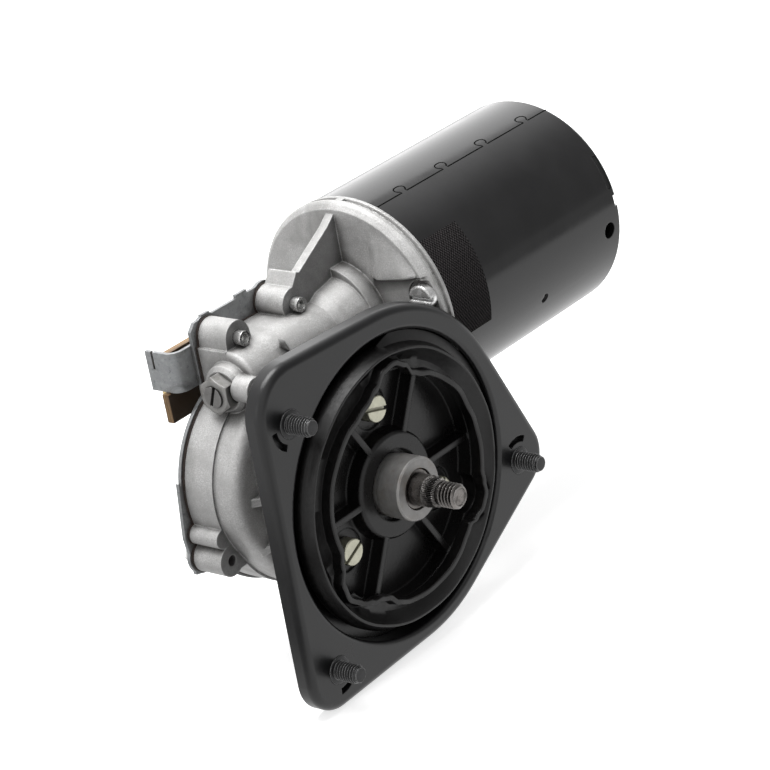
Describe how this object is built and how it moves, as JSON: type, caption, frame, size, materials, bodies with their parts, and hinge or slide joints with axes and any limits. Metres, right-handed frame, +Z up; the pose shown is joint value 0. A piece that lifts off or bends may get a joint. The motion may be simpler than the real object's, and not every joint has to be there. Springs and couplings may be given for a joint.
{
  "type": "wiper motor",
  "caption": "Windscreen wiper motor: round motor can, cast worm gearbox and a black studded mounting plate with a sealed, ribbed hub and a knurled output shaft.",
  "frame": {"origin": "on the output shaft's axis, level with the front face of the mounting plate", "axes": "-Y along the output shaft, out of the plate; +X along the motor can, away from the gearbox; +Z up"},
  "size_m": [0.1895, 0.1024, 0.1307],
  "materials": {
    "pressed_steel_black": "satin",
    "cast_bracket_black": "satin",
    "can_black": "semi-gloss",
    "seal_rubber": "matte",
    "stud_steel": "phosphated",
    "yellow_zinc": "yellow zinc plated",
    "bright_steel": "machined",
    "collar_steel": "ground",
    "sintered_bronze": "sintered",
    "cast_aluminium": "as cast",
    "gasket_paper": "fibrous",
    "galvanised_sheet": "galvanised",
    "zinc_steel": "zinc plated",
    "phenolic_board": "laminated",
    "contact_brass": "stamped",
    "gear_plastic": "moulded",
    "gear_steel": "sintered",
    "motor_steel": "laminated",
    "coil_copper": "enamelled",
    "commutator_copper": "turned",
    "ferrite": "ground",
    "carbon": "pressed",
    "insulation": "laminated",
    "tape_fabric": "woven"
  },
  "bodies": {
    "base": {"mounting_plate": "pressed_steel_black", "mounting_studs": "stud_steel", "front_bracket": "cast_bracket_black", "bracket_screws": "yellow_zinc", "plate_seal": "seal_rubber", "bearing_collar": "collar_steel", "shaft_bushes": "sintered_bronze", "shaft_seal_washer": "insulation", "gear_housing": "cast_aluminium", "cover_gasket": "gasket_paper", "back_cover": "galvanised_sheet", "cover_screws": "zinc_steel", "contact_board": "phenolic_board", "contact_springs": "contact_brass", "terminal_board": "phenolic_board", "terminal_rivets": "zinc_steel", "terminal_blades": "contact_brass", "terminal_clip": "galvanised_sheet", "adjusting_screw": "zinc_steel", "lock_nut": "zinc_steel", "thrust_pad": "sintered_bronze", "front_bearing": "sintered_bronze", "rear_bearing": "sintered_bronze", "magnets": "ferrite", "brush_plate": "insulation", "brush_holders": "contact_brass", "brushes": "carbon", "brush_springs": "bright_steel", "motor_can": "can_black", "end_plate": "motor_steel", "can_bolts": "zinc_steel", "tape_patch": "tape_fabric"},
    "armature": {"armature_shaft": "bright_steel", "armature_core": "motor_steel", "armature_windings": "coil_copper", "commutator": "commutator_copper"},
    "output": {"output_shaft": "bright_steel", "retaining_rings": "bright_steel", "thrust_washers": "bright_steel", "drive_gear": "gear_plastic", "gear_hub": "gear_steel", "contact_disc": "contact_brass"}
  },
  "joints": [
    {"name": "armature_spin", "type": "hinge", "parent": "base", "child": "armature", "pos_m": [0, 0.0417, 0.0379], "axis": [1, 0, 0], "continuous": true},
    {"name": "output_spin", "type": "hinge", "parent": "base", "child": "output", "pos_m": [0, 0, 0], "axis": [0, -1, 0], "continuous": true}
  ],
  "couplings": [
    {"joint": "output_spin", "follows": "armature_spin", "ratio": 0.019608}
  ]
}
